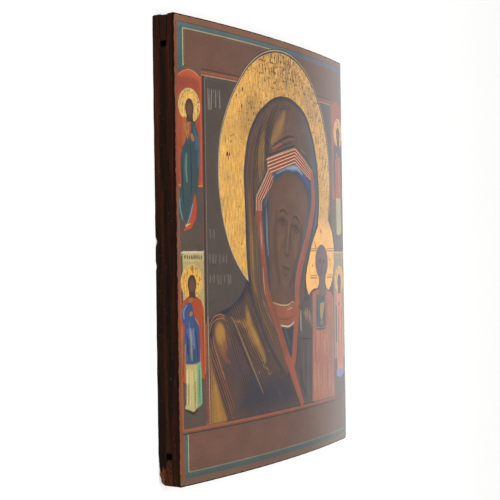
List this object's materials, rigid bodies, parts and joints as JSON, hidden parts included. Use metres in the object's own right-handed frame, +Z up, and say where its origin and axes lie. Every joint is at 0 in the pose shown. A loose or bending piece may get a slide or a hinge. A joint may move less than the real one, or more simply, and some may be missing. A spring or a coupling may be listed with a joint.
{
  "type": "painted wooden icon panel",
  "caption": "Painted wooden panel, warped so that its front bulges across the width, with a wedge-shaped batten let into a groove in each end.",
  "frame": {"origin": "on the surface that the panel lies on, under the middle of its overall box", "axes": "+X across the picture to its right, +Y to the picture's top along the wood's grain, +Z up, out of the painted front"},
  "size_m": [0.2668, 0.311, 0.0272],
  "materials": {
    "board_wood": "old dark stained wood, hand planed, dry and dirty; its front carries gesso and paint",
    "batten_wood": "old chestnut-brown wood, dry",
    "painted_ground": "tempera and gold leaf on gesso under an aged glossy varnish"
  },
  "bodies": {
    "root": {"board": "board_wood", "top_end_batten": "batten_wood", "bottom_end_batten": "batten_wood"}
  },
  "joints": []
}
